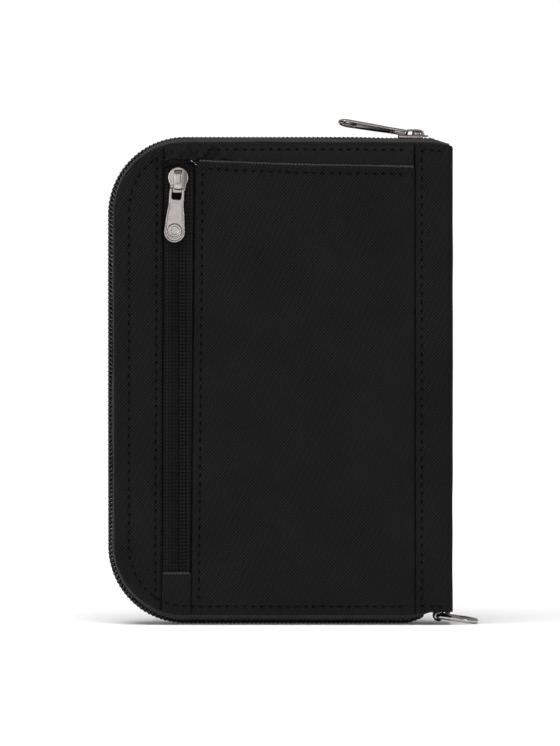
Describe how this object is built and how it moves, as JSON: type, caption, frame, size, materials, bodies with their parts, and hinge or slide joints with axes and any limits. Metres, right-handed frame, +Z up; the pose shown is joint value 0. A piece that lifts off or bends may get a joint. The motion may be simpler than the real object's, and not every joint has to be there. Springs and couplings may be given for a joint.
{
  "type": "passport holder wallet",
  "caption": "Zip-around passport wallet in black twill with a slip pocket, a zipped pocket and a lanyard ring; it opens like a book.",
  "frame": {"origin": "on the outer face of the bottom run of the main zip chain, which the wallet stands on, half way along its width, at the middle of the chain", "axes": "+Z up along the wallet's height, +X towards the spine, -Y towards the face with the zipped pocket"},
  "size_m": [0.1285, 0.0251, 0.1766],
  "materials": {
    "shell_fabric": "black twill-woven nylon",
    "lining_fabric": "plain woven polyester lining",
    "zip_tape": "ribbed woven zip tape",
    "zip_coil": "satin nylon coil",
    "stiffener": "thin stiffening board",
    "webbing": "woven webbing tape",
    "zip_metal": "polished gunmetal plating",
    "hardware_metal": "polished gunmetal plating"
  },
  "bodies": {
    "rear_cover": {"rear_panel": "shell_fabric", "rear_spine_strip": "shell_fabric", "rear_board": "stiffener", "rear_lining": "lining_fabric", "passport_pocket": "lining_fabric", "rear_zip_tape": "zip_tape", "rear_zip_coil": "zip_coil"},
    "spine": {"spine_wrap": "shell_fabric", "spine_board": "stiffener", "spine_lining": "lining_fabric", "d_ring_tab": "webbing"},
    "lanyard_ring": {"d_ring": "hardware_metal"},
    "front_cover": {"front_side_strip": "shell_fabric", "slip_pocket_panel": "shell_fabric", "front_backing_panel": "shell_fabric", "front_spine_strip": "shell_fabric", "pocket_zip_tape_left": "zip_tape", "pocket_zip_tape_right": "zip_tape", "pocket_zip_coil_left": "zip_coil", "pocket_zip_coil_right": "zip_coil", "pocket_zip_end_patch": "shell_fabric", "pocket_pouch": "lining_fabric", "front_board": "stiffener", "front_lining": "lining_fabric", "card_slot_upper": "lining_fabric", "card_slot_middle": "lining_fabric", "card_slot_lower": "lining_fabric", "front_zip_tape": "zip_tape", "front_zip_coil": "zip_coil"},
    "main_slider": {"main_zip_slider": "zip_metal"},
    "main_puller": {"main_zip_puller": "zip_metal"},
    "pocket_slider": {"pocket_zip_slider": "zip_metal"},
    "pocket_puller": {"pocket_zip_puller": "zip_metal"}
  },
  "joints": [
    {"name": "spine_fold", "type": "hinge", "parent": "rear_cover", "child": "spine", "pos_m": [0.06, 0.0115, 0.0847], "axis": [0, 0, 1], "range_deg": [0, 90]},
    {"name": "cover_fold", "type": "hinge", "parent": "spine", "child": "front_cover", "pos_m": [0.06, -0.0115, 0.0847], "axis": [0, 0, 1], "range_deg": [0, 90]},
    {"name": "ring_swing", "type": "hinge", "parent": "spine", "child": "lanyard_ring", "pos_m": [0.0552, 0, 0.0027], "axis": [0, 1, 0], "range_deg": [-2, 80]},
    {"name": "main_zip_run", "type": "slide", "parent": "rear_cover", "child": "main_slider", "axis": [-1, 0, 0], "range_m": [0, 0.073]},
    {"name": "main_puller_swing", "type": "hinge", "parent": "main_slider", "child": "main_puller", "pos_m": [0.0444, 0, 0.1711], "axis": [0, 1, 0], "range_deg": [0, 125]},
    {"name": "pocket_zip_run", "type": "slide", "parent": "front_cover", "child": "pocket_slider", "axis": [0, 0, -1], "range_m": [0, 0.13]},
    {"name": "pocket_puller_swing", "type": "hinge", "parent": "pocket_slider", "child": "pocket_puller", "pos_m": [-0.035, -0.0123, 0.1519], "axis": [-1, 0, 0], "range_deg": [0, 125]}
  ]
}
